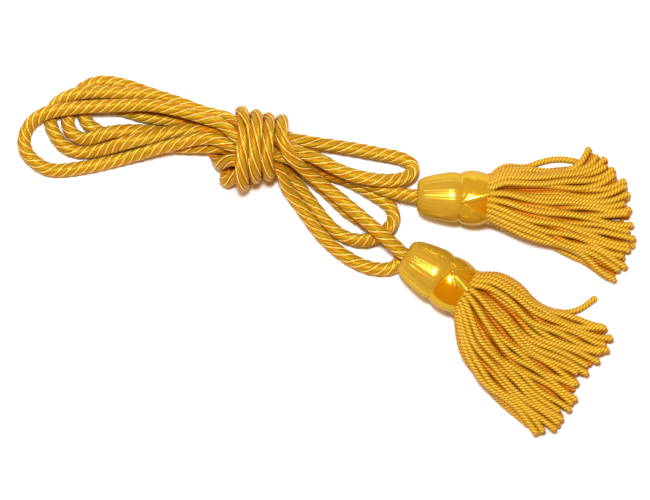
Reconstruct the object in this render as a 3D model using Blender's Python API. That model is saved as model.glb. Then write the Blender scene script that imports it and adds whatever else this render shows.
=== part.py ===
"""Curtain tie tassel: one twisted cord folded into a hank and wrapped round itself, with a tassel on each end.

Every solid lies as it rests on a floor at z = 0. Plan tables are in plan units of 0.58 mm, x to the right and y
towards the near edge, with heights in millimetres; at() turns them into millimetres about the middle of the piece.
"""
import math

import bmesh
import bpy
import numpy as np
from mathutils import Vector
from mathutils.geometry import delaunay_2d_cdt

for old in list(bpy.data.objects):
    bpy.data.objects.remove(old, do_unlink=True)

MM = 0.001
UNIT = 0.58              # mm in a plan unit
MID_X, MID_Y = 326.62, 255.12

CORD_D = 8.0             # over the four strands of the cord
CORD_CORNER = 3.8        # corner radius of the cord's twisted section
CORD_STEP = 2.7          # between the rings of its section

AXIS_Z = 15.6            # height of a tassel's axis, the band's underside pressed flat on the floor
DOME_LEN = 25.5
NECK_END = 33.0
NECK_R = 12.6
BAND_START, BAND_END = 25.9, 41.2
BAND_IN = 13.3
PLUG_START, PLUG_R = 33.3, 12.9
FLANGE_START, FLANGE_END, FLANGE_R = 41.5, 42.8, 14.6
SOCKET_R, SOCKET_DEPTH = 4.2, 5.0

STRAND_D = 3.0           # a fringe strand, over its twisted plies
STRAND_R = 1.25          # corner radius of its squared section
STRAND_GAP = 3.12        # centre to centre, at the least
STRAND_DROP = 0.55       # brings the flat undersides of the lowest strands down to the floor
LOCK_PULL, LOCK_CROSS = 0.006, 0.008
ROOT_RINGS = ((13.0, 24), (9.7, 18), (6.4, 12), (3.1, 6), (0.0, 1))

# base colour, roughness and metallic value of each kind of piece
FINISHES = {
    "rope": ((0.60, 0.32, 0.025), 0.40, 0.0),
    "head": ((0.66, 0.38, 0.028), 0.28, 0.0),
    "band": ((0.66, 0.36, 0.022), 0.28, 0.0),
    "skirt": ((0.62, 0.34, 0.024), 0.50, 0.0),
}
SMOOTH_UNDER = math.radians(35)   # edges that bend more than this stay sharp to the eye

pieces = bpy.data.collections.new("silk_tassel")
bpy.context.scene.collection.children.link(pieces)


def at(x, y, z=0.0):
    return ((x - MID_X) * UNIT, (MID_Y - y) * UNIT, z)


# ---- the cord's route: plan x, plan y, height of its centre line ----
TO_TASSEL_1 = ((424.5, 196.9, 15.6), (417, 196.6, 15.6), (409, 195.6, 14.2), (398, 193.3, 12), (384, 188.5, 11.6),
               (368, 183, 12), (350, 177, 12), (332, 169.5, 12), (317, 161, 11), (302, 150.5, 10), (286, 142.5, 10.5))
D_UPPER = ((268, 138, 11.5), (252, 137.5, 11.3), (240, 136, 10.5), (228, 132, 8.5), (213, 128.8, 5), (196, 126, 4),
           (176, 121.5, 4), (152, 118.8, 4), (138, 116, 4), (127, 112.5, 4), (113, 108.5, 4), (100, 105.2, 4),
           (91, 104.5, 4))
D_BEND = ((80.5, 107.5, 4), (77.3, 113.5, 4), (79.5, 121, 4), (87.5, 128.5, 4), (98, 133.5, 4), (110, 137, 4))
D_LOWER = ((125, 138.7, 4), (140, 141, 4), (160, 143.5, 4.6), (178, 144.6, 6.5), (193, 145, 8.5), (207, 145, 11),
           (222, 146, 12.2), (236, 149.5, 11.8))
F_LOWER = ((252, 151.5, 11.5), (270, 153.5, 12), (284, 163, 11), (295, 178, 8), (304, 191, 5), (315, 207.5, 4),
           (326, 223, 4), (339.5, 234.3, 4), (354, 239.3, 4.5), (369, 238.3, 8))
F_BEND = ((382, 231.5, 11.5), (391.5, 224, 9), (394.5, 213, 5), (389.5, 203.5, 4), (380, 196.5, 4))
F_UPPER = ((371, 191, 4), (362, 185.3, 4), (351, 179.3, 4), (336, 173.5, 4.2), (320, 169, 5.5), (304, 163, 13),
           (290, 156, 21))
A_UPPER = ((276, 152, 25), (260, 149.5, 25.3), (242, 136, 25.8), (228, 122.5, 22), (205, 115, 19.3),
           (180, 108, 18.3), (150, 103, 17.5), (125, 103.2, 16), (100, 103.5, 14.3), (78, 104.3, 13.5),
           (60, 106.5, 12))
A_BEND = ((44.5, 110.6, 10), (36.4, 115.4, 8.5), (30, 122.2, 6), (25.3, 131, 4.5), (24.1, 141, 4), (27.5, 151.7, 4),
          (36.8, 161, 4), (49.6, 167.8, 4), (66, 167.8, 4))
A_LOWER = ((86, 165, 4), (104, 161.3, 4), (125, 156, 5.5), (140, 151.7, 9), (151, 148.5, 11.2), (165, 145, 13.3),
           (180, 141.7, 16), (196, 138, 17.6), (213, 138.5, 19), (231, 147, 19.5))
G_LOWER = ((248, 156, 18.5), (263, 161, 18.5), (275, 172, 14), (283, 187, 8), (294.5, 201, 4.3), (308, 216.5, 4),
           (321, 232, 4), (335, 246, 4), (352, 258.8, 4), (368, 266.5, 4))
G_BEND = ((382.5, 269, 4), (395, 267, 4), (401, 259.5, 4), (398.5, 249.5, 4))
G_UPPER = ((385, 239, 4), (369, 226.5, 4), (355, 217.3, 4), (346, 210.8, 4), (335, 199.5, 4), (320, 185.5, 4.5),
           (306, 173.5, 7), (291, 160, 12))
B_LOWER = ((276, 147, 18), (260, 144.5, 18), (244, 142.5, 17.5), (230, 139, 16), (213, 133.8, 12), (196, 132.3, 11),
           (180, 132.4, 11.5), (165, 133.5, 13.3), (151, 137.3, 15.5), (140, 139, 16), (125, 142, 15.2),
           (110, 146.3, 9), (92, 150.3, 4.5))
B_BEND = ((75, 151, 4), (66, 147.5, 4), (60, 142, 4), (54, 132.8, 4), (50.8, 122.5, 4), (52, 112.5, 5),
          (58.5, 105.3, 7.5), (69, 99.3, 11))
B_UPPER = ((82, 95.6, 12.2), (100, 94, 10.8), (125, 95.5, 11), (150, 96.3, 11.8), (180, 104.7, 11.4),
           (205, 114.5, 12), (228, 120.5, 14.6), (241, 129, 20), (254, 137, 24.5), (270, 138.5, 25))
E_LOWER = ((286, 147, 25.5), (300, 155, 23.5), (315, 161.5, 20.5), (332, 170.5, 19.8), (350, 178.7, 19.6),
           (370, 184, 18.5), (388, 186.2, 14))
E_BEND = ((403, 184, 10), (413, 177.5, 7), (412.5, 169, 5))
E_UPPER = ((401, 162.3, 4.5), (382, 158, 5.5), (358, 153.3, 6.5), (335, 149.5, 7.5), (315, 146.8, 10), (298, 143.8, 13),
           (284, 139.3, 15.5), (270, 133, 17.5), (256, 131.5, 17.5))
C_UPPER = ((241, 129, 15.5), (228, 121, 9), (205, 114.3, 4.3), (180, 104.3, 4), (150, 93.5, 4), (125, 85, 4),
           (108, 82, 4), (95, 83, 4))
C_BEND = ((84, 88.5, 4), (76.5, 98, 4), (73, 107, 4), (70.2, 115, 4), (70, 122, 4), (71.8, 129, 4), (77, 135, 4),
          (85, 138.5, 4.5), (95, 138, 7.5))
C_LOWER = ((104, 135.3, 10.5), (114, 132.8, 12), (125, 131.8, 11.2), (140, 131.5, 9.6), (151, 132, 8),
           (163, 133, 5.3), (176, 134, 4), (192, 135, 4), (204, 139, 4), (215, 146, 4))
FIRST_LOBE = ((222.5, 154, 4.6), (225.5, 159, 8), (227, 160, 12.5), (231.5, 157.5, 17), (238, 154, 20.5),
              (247, 156, 24), (250.5, 165, 21.5), (245, 173.5, 16.5), (236.5, 180, 12.5))
SECOND_LOBE = ((228.5, 184.5, 8.5), (225.8, 180, 4), (232, 164, 4), (239, 141, 4), (244, 121, 7.5))
# turns of the wrap: x of its upper point, shoulder, front and lower point, y of its middle, half width, crest
TURNS = ((243.7, 248.5, 244.5, 244, 146.5, 33.2, 33.5), (257.5, 258.5, 256.0, 257.5, 145.2, 32.0, 35.5),
         (270.0, 268.0, 267.0, 270.5, 147.0, 23.5, 34.0))
WRAP_MID_Z = 19.0
LAST_TURN = ((275.5, 116.5, 17), (273.5, 123.5, 27), (274, 135, 33), (280, 148, 33), (289.5, 160, 29))
TO_TASSEL_2 = ((301, 169.5, 21), (314, 179.2, 15.5), (329, 190.8, 12.3), (343.5, 203, 12.6), (359.5, 216, 15),
               (375, 229.2, 18.5), (389, 240.7, 18.8), (397.5, 248.4, 17.2), (404.4, 254.8, 15.7), (411, 258.9, 15.6))
# plan x, how much slimmer the cord is there, drawn in towards the knot, and the length of a turn of its twist
DRAWN_IN = ((50, 1.0, 21.6), (110, 1.0, 23), (150, 0.96, 25), (190, 0.92, 28), (230, 0.88, 36), (295, 0.88, 36),
            (325, 0.93, 30), (350, 1.0, 26), (390, 1.0, 22.5), (420, 1.0, 21.6))
WRAP_SLIM, WRAP_PITCH = 0.94, 52.0

# ---- the tassels: plan x and y of the dome's end, degrees that the axis turns towards the near edge, girth ----
TASSEL_1 = (417.0, 196.2, 2.0, 1.0)
TASSEL_2 = (404.5, 255.2, 31.5, 1.045)

# ---- the skirts: plan points of the far side, the near side and the strand ends from far to near; the loose
# strand's line has the heights too ----
FAR_1 = ((489, 168.5), (500, 165.5), (523, 169), (547, 171.5), (566, 169.5), (580, 161.5), (589, 147))
NEAR_1 = ((489, 225.5), (502, 230), (523, 237.5), (545, 243.7), (567, 252), (583, 259), (599, 273), (613, 283))
ENDS_1 = ((589, 147), (603.5, 153), (611, 161), (617.5, 169), (623, 176), (631, 184), (631.5, 197),
          (633.5, 208), (633.5, 220), (633.5, 231), (637, 240), (636.5, 249), (629, 255), (627, 269.5), (614, 284))
STRAY_1 = ((489, 168.5, 14), (507, 164.5, 7), (524, 166.5, 2.2), (539, 162.2, 1.5), (550, 159.8, 1.5),
           (561, 159.2, 1.5), (569, 160, 1.5), (576, 161.4, 1.5))
FAR_2 = ((481.5, 268.5), (496, 269.5), (507, 276), (517, 283), (525.5, 290.5), (533, 299.5), (545, 308.7),
         (561, 316), (577, 321), (592, 324.5), (603, 324.5))
NEAR_2 = ((447.5, 316.5), (450, 323), (453.5, 333), (458, 346), (463, 358), (473, 371.5), (486, 386), (502, 399.5),
          (516, 413), (525.5, 423.5), (534, 433.5))
ENDS_2 = ((603, 324.5), (613.5, 331), (615.5, 341), (611, 352), (602, 360), (593, 366), (591.5, 373), (584, 377.5),
          (580, 387), (577.5, 395), (579, 404), (574, 411), (564, 419), (563.5, 430), (553, 432), (547, 436),
          (534, 433.5))
STRAY_2 = ((481.5, 268.5, 14), (501, 273.5, 8), (514, 280.5, 3.5), (523, 288, 1.5), (531.5, 298, 1.5),
           (543.5, 307, 1.5), (556, 312, 1.5), (568, 313.5, 1.5), (580, 310.5, 1.5), (589, 304, 1.5),
           (597, 297, 1.5))


def wrap_route():
    out = []
    for k, (top, shoulder, front, low, mid, half, crest) in enumerate(TURNS):
        after = TURNS[k + 1][0] if k + 1 < len(TURNS) else LAST_TURN[0][0]
        for j in range(12):
            turn = math.pi * j / 6
            c = math.copysign(abs(math.cos(turn)) ** 0.8, math.cos(turn))
            s = math.copysign(abs(math.sin(turn)) ** 0.8, math.sin(turn))
            x = float(np.interp(j, (0, 2, 3.5, 6, 12), (top, shoulder, front, low, after)))
            rise = crest - WRAP_MID_Z if s > 0 else WRAP_MID_Z - CORD_D / 2
            out.append((x, mid - half * c, WRAP_MID_Z + rise * s))
    return tuple(out)


def smooth(points, per=10):
    """A centripetal Catmull-Rom line through the points; columns after the third go along with them."""
    p = np.vstack([2 * points[0] - points[1], points, 2 * points[-1] - points[-2]])
    out = []
    for i in range(1, len(p) - 2):
        q = p[i - 1:i + 3]
        k = np.concatenate([[0], np.cumsum(np.linalg.norm(np.diff(q[:, :3], axis=0), axis=1) ** 0.5)])
        t = np.linspace(k[1], k[2], per, endpoint=False)[:, None]
        a = [(k[j + 1] - t) / (k[j + 1] - k[j]) * q[j] + (t - k[j]) / (k[j + 1] - k[j]) * q[j + 1] for j in range(3)]
        b = [(k[j + 2] - t) / (k[j + 2] - k[j]) * a[j] + (t - k[j]) / (k[j + 2] - k[j]) * a[j + 1] for j in range(2)]
        out.append((k[2] - t) / (k[2] - k[1]) * b[0] + (t - k[1]) / (k[2] - k[1]) * b[1])
    return np.vstack(out + [p[-2][None]])


def soften(points, per=6):
    """A cubic B-spline over the points, which keeps near them and rounds their bends."""
    p = np.vstack([2 * points[0] - points[1], points, 2 * points[-1] - points[-2]])
    t = (np.arange(per) / per)[:, None]
    out = [((1 - t) ** 3 * p[i - 1] + (3 * t ** 3 - 6 * t ** 2 + 4) * p[i]
            + (-3 * t ** 3 + 3 * t ** 2 + 3 * t + 1) * p[i + 1] + t ** 3 * p[i + 2]) / 6
           for i in range(1, len(p) - 2)]
    return np.vstack(out + [points[-1][None]])


def evenly(line, step=None, count=None):
    run = np.concatenate([[0], np.cumsum(np.linalg.norm(np.diff(line[:, :3], axis=0), axis=1))])
    count = count or int(round(run[-1] / step)) + 1
    where = np.linspace(0, run[-1], count)
    return np.stack([np.interp(where, run, line[:, k]) for k in range(line.shape[1])], 1)


def settle(home, need, floor, skip, rounds, least_bend, held):
    """Moves lines (lines, points, 3) apart until their points are need mm apart, and off the floor.

    need and floor are numbers, or arrays with one for each point. The moves are smoothed along each line; bends
    tighter than least_bend are eased; held points stay."""
    lines, points = home.shape[:2]
    total = lines * points
    need = np.broadcast_to(need, (lines, points)).reshape(-1)
    line = np.repeat(np.arange(lines), points)
    step = np.tile(np.arange(points), lines)
    space = np.linalg.norm(home[:, 1:] - home[:, :-1], axis=2).mean()
    most = space ** 2 / (2 * least_bend)
    move = np.zeros_like(home)
    for r in range(rounds):
        last = r >= 0.7 * rounds
        now = (home + move).reshape(-1, 3)
        if r % 12 == 0:
            # the pairs near enough to meet before the next look
            first, second = [], []
            for i in range(total - 1):
                near = ((now[i + 1:] - now[i]) ** 2).sum(1) < (need.max() + 3.0) ** 2
                j = np.nonzero(near)[0] + i + 1
                j = j[(line[j] != line[i]) | (step[j] - step[i] > skip)]
                first.append(np.full(len(j), i))
                second.append(j)
            first, second = np.concatenate(first), np.concatenate(second)
            gap = 0.5 * (need[first] + need[second])
        d = now[first] - now[second]
        size = np.sqrt((d ** 2).sum(1))
        hit = size < gap
        i, j = first[hit], second[hit]
        d = d[hit] * ((gap[hit] - size[hit]) / np.maximum(size[hit], 1e-6))[:, None]
        hits = np.maximum(np.bincount(i, minlength=total) + np.bincount(j, minlength=total), 1)[:, None]
        push = np.stack([np.bincount(i, d[:, k], total) - np.bincount(j, d[:, k], total) for k in range(3)], 1)
        push *= (0.5 if last else 0.6) / (np.sqrt(hits) if last else hits)
        move += push.reshape(home.shape)
        now = home + move
        move[..., 2] += np.maximum(floor - now[..., 2], 0)
        now = home + move
        bow = 0.5 * (now[:, 2:] + now[:, :-2]) - now[:, 1:-1]
        size = np.linalg.norm(bow, axis=2, keepdims=True)
        move[:, 1:-1] += bow * np.maximum(size - most, 0) / np.maximum(size, 1e-9)
        for _ in range(1 if last else 5):
            mean = move.copy()
            mean[:, 1:-1] = 0.5 * move[:, 1:-1] + 0.25 * (move[:, :-2] + move[:, 2:])
            move = mean
        if not last:
            move *= 0.985
        move[held] = 0
    now = home + move
    now[..., 2] = np.maximum(now[..., 2], floor)
    return now


def cord_line():
    """The cord's centre line, with two more columns: how slim it is, and the length of a turn of its twist."""
    loops = (TO_TASSEL_1 + D_UPPER + D_BEND + D_LOWER + F_LOWER + F_BEND + F_UPPER + A_UPPER + A_BEND + A_LOWER
             + G_LOWER + G_BEND + G_UPPER + B_LOWER + B_BEND + B_UPPER + E_LOWER + E_BEND + E_UPPER + C_UPPER
             + C_BEND + C_LOWER)
    wrap = FIRST_LOBE + SECOND_LOBE + wrap_route() + LAST_TURN
    drawn = np.array(DRAWN_IN)

    def rows(table):
        return [at(*p) + tuple(np.interp(p[0], drawn[:, 0], drawn[:, k]) for k in (1, 2)) for p in table]

    table = rows(loops) + [at(*p) + (WRAP_SLIM, WRAP_PITCH) for p in wrap] + rows(TO_TASSEL_2)
    home = evenly(smooth(np.array(table)), step=4.0)
    slim, pitch = home[:, 3], home[:, 4]
    held = np.zeros((1, len(home)), bool)
    held[:, :4] = held[:, -4:] = True
    line = settle(home[None, :, :3], 8.2 * slim[None], CORD_CORNER * slim[None] + 0.05, 5, 600, 6.5, held)[0]
    return soften(np.column_stack([line, slim, pitch]))


def lay_angle(pitch, step):
    """Angle of the twist at points step mm apart."""
    turns = np.cumsum(step / pitch)
    return -2 * math.pi * (turns - turns[0])


def sweep_frames(line):
    """Tangents and a pair of untwisted cross directions along a line."""
    t = np.gradient(line, axis=0)
    t /= np.linalg.norm(t, axis=1)[:, None]
    n = np.zeros_like(t)
    start = np.cross((0, 0, 1), t[0])
    n[0] = start / np.linalg.norm(start)
    for i in range(1, len(t)):
        v = n[i - 1] - t[i] * np.dot(n[i - 1], t[i])
        n[i] = v / np.linalg.norm(v)
    return t, n, np.cross(t, n)


def finish(name):
    """The piece's own material, in the finish of its kind."""
    colour, roughness, metallic = FINISHES[name.split("_")[0]]
    material = bpy.data.materials.new(name)
    material.use_nodes = True
    shader = material.node_tree.nodes["Principled BSDF"]
    shader.inputs["Base Color"].default_value = (*colour, 1.0)
    shader.inputs["Roughness"].default_value = roughness
    shader.inputs["Metallic"].default_value = metallic
    return material


def solid(name, verts, faces, holder=None):
    """A closed piece from its corners in mm, which are measured in the holder's own frame if it has one."""
    mesh = bpy.data.meshes.new(name)
    mesh.from_pydata([tuple(float(c) * MM for c in v) for v in verts], [], [tuple(f) for f in faces])
    mesh.validate()
    bm = bmesh.new()
    bm.from_mesh(mesh)
    bmesh.ops.recalc_face_normals(bm, faces=bm.faces)
    bm.to_mesh(mesh)
    bm.free()
    mesh.shade_smooth()
    mesh.set_sharp_from_angle(angle=SMOOTH_UNDER)
    mesh.materials.append(finish(name))
    ob = bpy.data.objects.new(name, mesh)
    ob.parent = holder
    pieces.objects.link(ob)
    return ob


def build_cord(line):
    line = evenly(line, step=CORD_STEP)
    line, slim, angle = line[:, :3], line[:, 3], lay_angle(line[:, 4], CORD_STEP)
    t, n, b = sweep_frames(line)
    # the cord is drawn in where it bends tightly
    leg = np.diff(line, axis=0) / CORD_STEP
    turn = np.pad(np.arccos(np.clip((leg[1:] * leg[:-1]).sum(1), -1, 1)) / CORD_STEP, 1, mode="edge")
    turn = np.max([np.roll(turn, k) for k in (-1, 0, 1)], axis=0)
    corner = np.minimum(CORD_CORNER * slim, 0.54 / np.maximum(turn, 1e-3))
    verts, faces = [], []
    for i in range(len(line)):
        ease = corner[i] / CORD_CORNER * min(1.0, 0.92 + 0.04 * min(i, len(line) - 1 - i))
        for k in range(4):
            a = angle[i] + k * math.pi / 2
            verts.append(line[i] + CORD_CORNER * ease * (math.cos(a) * n[i] + math.sin(a) * b[i]))
    for i in range(len(line) - 1):
        for k in range(4):
            p, q = 4 * i + k, 4 * i + (k + 1) % 4
            # the crease runs with the twist, from this ring's corner to the next ring's same corner
            faces.append((p, q, p + 4))
            faces.append((q, q + 4, p + 4))
    faces.append((3, 2, 1, 0))
    end = 4 * (len(line) - 1)
    faces.append((end, end + 1, end + 2, end + 3))
    return solid("rope", verts, faces)


def tassel_frame(tassel):
    x, y, turn, _ = tassel
    a = math.radians(-turn)
    origin = np.array(at(x, y, AXIS_Z))
    along = np.array((math.cos(a), math.sin(a), 0.0))
    side = np.array((-math.sin(a), math.cos(a), 0.0))
    return origin, along, side, np.array((0.0, 0.0, 1.0))


def tassel_holder(number, tassel):
    """An empty at the dome's end, its X along the tassel's axis, that carries the tassel's pieces."""
    x, y, turn, _ = tassel
    holder = bpy.data.objects.new("tassel_%d" % number, None)
    holder.location = [c * MM for c in at(x, y, AXIS_Z)]
    holder.rotation_euler = (0.0, 0.0, math.radians(-turn))
    pieces.objects.link(holder)
    return holder


def dome_r(tassel, s):
    """Radius of the dome at s mm from its end: a rounded shoulder, a full girth, then a slight nip."""
    table = np.array([(0, 7.6), (0.6, 8.8), (1.8, 9.9), (4, 11.1), (8.5, 12.5), (14, 13.7), (20, 14.6), (23.5, 14.3),
                      (DOME_LEN, 13.4)])
    return tassel[3] * float(np.interp(s, table[:, 0], table[:, 1]))


def turned(rows, around, lowest=-math.inf):
    """Corners taken round the tassel's axis, a ring for each row of (s, radius function of the angle)."""
    verts = []
    for s, radius in rows:
        for k in range(around):
            a = 2 * math.pi * k / around
            r = radius(a)
            verts.append((s, r * math.cos(a), max(r * math.sin(a), lowest)))
    return verts


def build_head(name, tassel, holder):
    around, pleats = 36, 18

    def dome(s, depth):
        return lambda a: dome_r(tassel, s) + depth * math.cos(pleats * a)

    rows = [(SOCKET_DEPTH, lambda a: SOCKET_R), (0.3, lambda a: SOCKET_R), (0.0, lambda a: SOCKET_R + 0.4)]
    for s, depth in ((0.0, 0.1), (0.6, 0.3), (1.8, 0.4), (4, 0.4), (8.5, 0.35), (14, 0.3), (20, 0.25), (23.5, 0.25),
                     (DOME_LEN, 0.2)):
        rows.append((s, dome(s, depth)))
    rows += [(DOME_LEN + 0.1, lambda a: NECK_R), (NECK_END, lambda a: NECK_R)]
    verts, faces, n = turned(rows, around), [], len(rows)
    for i in range(n - 1):
        for k in range(around):
            p, q = i * around + k, i * around + (k + 1) % around
            faces.append((p, q, q + around, p + around))
    faces.append(tuple(range(around)))
    faces.append(tuple(reversed(range((n - 1) * around, n * around))))
    return solid(name, verts, faces, holder)


def band_r(s, a):
    """Outer radius of the crossed ribbon: a swell along the axis with two sets of slanting folds."""
    t = (s - BAND_START) / (BAND_END - BAND_START)
    swell = 14.4 + 1.6 * math.sin(math.pi * min(1.0, 0.12 + 0.94 * t)) ** 0.8
    fold = 0.0
    for sign in (1, -1):
        w = math.cos(2 * (a - math.radians(75)) + sign * (t - 0.35) * 2.2)
        fold = max(fold, max(0.0, (w - 0.7) / 0.3))
    return swell + 0.35 * fold


def build_band(name, holder):
    around = 36
    steps = (0.0, 0.12, 0.3, 0.5, 0.7, 0.88, 1.0)
    rows = [(BAND_START, lambda a: BAND_IN), (BAND_END, lambda a: BAND_IN)]
    for t in reversed(steps):
        s = BAND_START + t * (BAND_END - BAND_START)
        rows.append((s, lambda a, s=s: band_r(s, a)))
    verts, faces, n = turned(rows, around, lowest=-AXIS_Z), [], len(rows)
    for i in range(n):
        for k in range(around):
            p, q = i * around + k, i * around + (k + 1) % around
            j = (i + 1) % n
            faces.append((p, q, j * around + (k + 1) % around, j * around + k))
    return solid(name, verts, faces, holder)


def roots():
    """Places of the strands on the header's face, (across, up), from its rim inwards."""
    out = []
    for ring, (r, count) in enumerate(ROOT_RINGS):
        for k in range(count):
            a = 2 * math.pi * (k + 0.5 * (ring % 2)) / count + 0.04
            out.append((r * math.cos(a), r * math.sin(a)))
    return out


def strand_lines(tassel, far, near, ends, stray):
    """The lines of a skirt's strands, laid in three layers that fan out on the floor, and pushed apart."""
    origin, along, side, up = tassel_frame(tassel)
    face = origin + FLANGE_END * along
    place = roots()
    order = sorted(range(len(place)), key=lambda i: -place[i][1])
    points = 24
    far, near, ends, stray = (np.array([at(*p) for p in table]) for table in (far, near, ends, stray))
    far, near = evenly(smooth(far), count=61), evenly(smooth(near), count=61)
    ends = evenly(ends, count=61)
    t = np.linspace(0, 1, points)
    fine = np.linspace(0, 1, 61)
    home = np.zeros((len(place), points, 3))
    layers = (order[:21], order[21:41], order[41:])
    for layer, members in enumerate(layers):
        members = sorted(members, key=lambda i: -place[i][0])
        for rank, i in enumerate(members):
            f = (rank + (0.25, 0.5, 0.75)[layer]) / len(members)
            root = face + place[i][0] * side + place[i][1] * up
            # strands differ a little in length, gather into locks and cross those of other layers
            short = (0.0, 0.035, 0.015, 0.05, 0.01, 0.03)[(rank * 5 + layer * 2) % 6] + 0.012 * layer
            u = t * (1 - short)
            inside = min(1.0, 7 * f * (1 - f))
            lock = LOCK_PULL * math.sin(2 * math.pi * (6 + layer) * f + 1.7 * layer)
            across = LOCK_CROSS * math.sin(2 * math.pi * (3.3 + 0.7 * layer) * f + 2.1 * layer)
            g = f + inside * (lock * np.sin(math.pi * t) + across * t ** 1.5)
            edge = [np.stack([np.interp(u, fine, e[:, k]) for k in range(2)], 1) for e in (far, near)]
            tip = np.stack([np.interp(g, fine, ends[:, k]) for k in range(2)], 1)
            g = g[:, None]
            whole = (1 - g) * far[-1, :2] + g * near[-1, :2]
            plan = (1 - g) * edge[0] + g * edge[1] + (u ** 1.6)[:, None] * (tip - whole)
            start = plan[0].copy()
            plan = plan + ((1 - t) ** 5)[:, None] * (root[:2] - start)
            low = STRAND_D / 2 + (2 - layer) * 2.75
            fall = np.clip(t / 0.96, 0, 1)
            fall = fall * fall * (3 - 2 * fall)
            home[i, :, :2] = plan
            home[i, :, 2] = root[2] + (low - root[2]) * fall
    # the first strand on the far side lies loose, in its own curve on the floor
    loose = max(layers[1], key=lambda i: place[i][0])
    root = face + place[loose][0] * side + place[loose][1] * up
    line = evenly(smooth(stray), count=points)
    home[loose] = line + ((1 - t) ** 3)[:, None] * (root - line[0])
    held = np.zeros(home.shape[:2], bool)
    held[:, 0] = True
    held[loose, 12:14] = True
    return settle(home, STRAND_GAP, STRAND_D / 2, points, 500, 25.0, held), loose


def build_skirt(name, tassel, holder, lines, loose):
    """The header plug and its strands as one body: each strand is drawn out of a square on the header's face."""
    origin, along, side, up = tassel_frame(tassel)
    place = roots()
    around = 24
    rim = [(FLANGE_R * math.cos(2 * math.pi * k / around), FLANGE_R * math.sin(2 * math.pi * k / around))
           for k in range(around)]
    flat = [Vector(p) for p in rim]
    outlines = [list(range(around))]
    for u, v in place:
        first = len(flat)
        for k in range(4):
            a = math.pi / 4 + k * math.pi / 2
            flat.append(Vector((u + STRAND_R * 0.95 * math.cos(a), v + STRAND_R * 0.95 * math.sin(a))))
        outlines.append([first + k for k in range(4)])
    pts, _, tris, from_pts, _, from_faces = delaunay_2d_cdt(flat, [], outlines, 1, 1e-7)
    where = {}
    for i, source in enumerate(from_pts):
        for s in source:
            where[s] = i
    verts = [origin + FLANGE_END * along + p[0] * side + p[1] * up for p in pts]
    faces = [tuple(f) for f, source in zip(tris, from_faces) if list(source) == [0]]
    # the flange, then the plug inside the band
    ring = [where[k] for k in range(around)]
    for s, r in ((FLANGE_START, FLANGE_R), (FLANGE_START, PLUG_R), (PLUG_START, PLUG_R)):
        new = []
        for k in range(around):
            a = 2 * math.pi * k / around
            new.append(len(verts))
            verts.append(origin + s * along + r * (math.cos(a) * side + math.sin(a) * up))
        for k in range(around):
            m = (k + 1) % around
            faces.append((ring[k], new[k], new[m], ring[m]))
        ring = new
    faces.append(tuple(ring))
    for i, line in enumerate(lines):
        lengths = 9 if i == loose else 6
        part = evenly(line, count=lengths + 1)
        t = np.gradient(line, axis=0)
        t /= np.linalg.norm(t, axis=1)[:, None]
        base = [where[outlines[i + 1][k]] for k in range(4)]
        for j in range(1, lengths + 1):
            w = int(round(j * (len(line) - 1) / lengths))
            # cross directions kept close to the header's own, so that the strand does not turn
            cross = side - t[w] * np.dot(side, t[w])
            cross /= np.linalg.norm(cross)
            rise = np.cross(t[w], cross)
            new = []
            size = STRAND_R * (0.8 if j == lengths else 1.0)
            drop = STRAND_DROP * min(1.0, 2 * j / lengths) * up
            for k in range(4):
                a = math.pi / 4 + k * math.pi / 2
                new.append(len(verts))
                verts.append(part[j] - drop + size * (math.cos(a) * cross + math.sin(a) * rise))
            for k in range(4):
                m = (k + 1) % 4
                faces.append((base[k], base[m], new[m], new[k]))
            base = new
        faces.append(tuple(base))
    # from the floor's frame into the tassel's own
    verts = (np.array(verts) - origin) @ np.column_stack([along, side, up])
    return solid(name, verts, faces, holder)


cord = cord_line()
build_cord(cord)
for number, tassel, far, near, ends, stray in (
        (1, TASSEL_1, FAR_1, NEAR_1, ENDS_1, STRAY_1), (2, TASSEL_2, FAR_2, NEAR_2, ENDS_2, STRAY_2)):
    holder = tassel_holder(number, tassel)
    build_head("head_%d" % number, tassel, holder)
    build_band("band_%d" % number, holder)
    build_skirt("skirt_%d" % number, tassel, holder, *strand_lines(tassel, far, near, ends, stray))
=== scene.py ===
"""Looks of the silk tassel: a twisted satin cord in a knotted hank with a satin-headed tassel on each end.

Lengths are in millimetres up to the mesh maker, which turns them into metres. The cord's route and the
fringe's lines are worked out here as in the part's source, so that each piece lies where its solid is.
"""
import math
from functools import partial

import bpy
import numpy as np
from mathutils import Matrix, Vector


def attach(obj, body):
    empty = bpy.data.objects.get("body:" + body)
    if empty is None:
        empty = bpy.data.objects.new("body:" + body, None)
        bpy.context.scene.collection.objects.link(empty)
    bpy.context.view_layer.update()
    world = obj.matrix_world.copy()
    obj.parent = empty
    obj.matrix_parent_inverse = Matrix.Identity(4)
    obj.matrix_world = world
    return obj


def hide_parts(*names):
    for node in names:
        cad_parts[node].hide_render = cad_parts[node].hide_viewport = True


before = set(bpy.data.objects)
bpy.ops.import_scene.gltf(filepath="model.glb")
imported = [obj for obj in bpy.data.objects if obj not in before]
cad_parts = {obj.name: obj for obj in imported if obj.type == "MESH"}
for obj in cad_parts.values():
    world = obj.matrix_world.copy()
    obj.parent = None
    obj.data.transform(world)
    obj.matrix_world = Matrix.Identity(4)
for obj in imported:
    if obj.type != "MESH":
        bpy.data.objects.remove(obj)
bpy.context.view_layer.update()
scene = bpy.context.scene

MM = 0.001
UNIT = 0.58              # mm in a plan unit
MID_X, MID_Y = 326.62, 255.12   # plan point at the middle of the piece
FLOOR_GAP = 0.02         # between the lowest surfaces and the floor

CORD_D = 8.0             # over the four strands of the cord
CORD_CORNER = 3.8        # corner radius of the cord's twisted section
CORD_APART = 8.2         # centre to centre of its stretches, at the least
CORD_BEND = 6.5          # its tightest bend radius
ROUTE_STEP = 4.0         # between the points of its route while they are pushed apart

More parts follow.
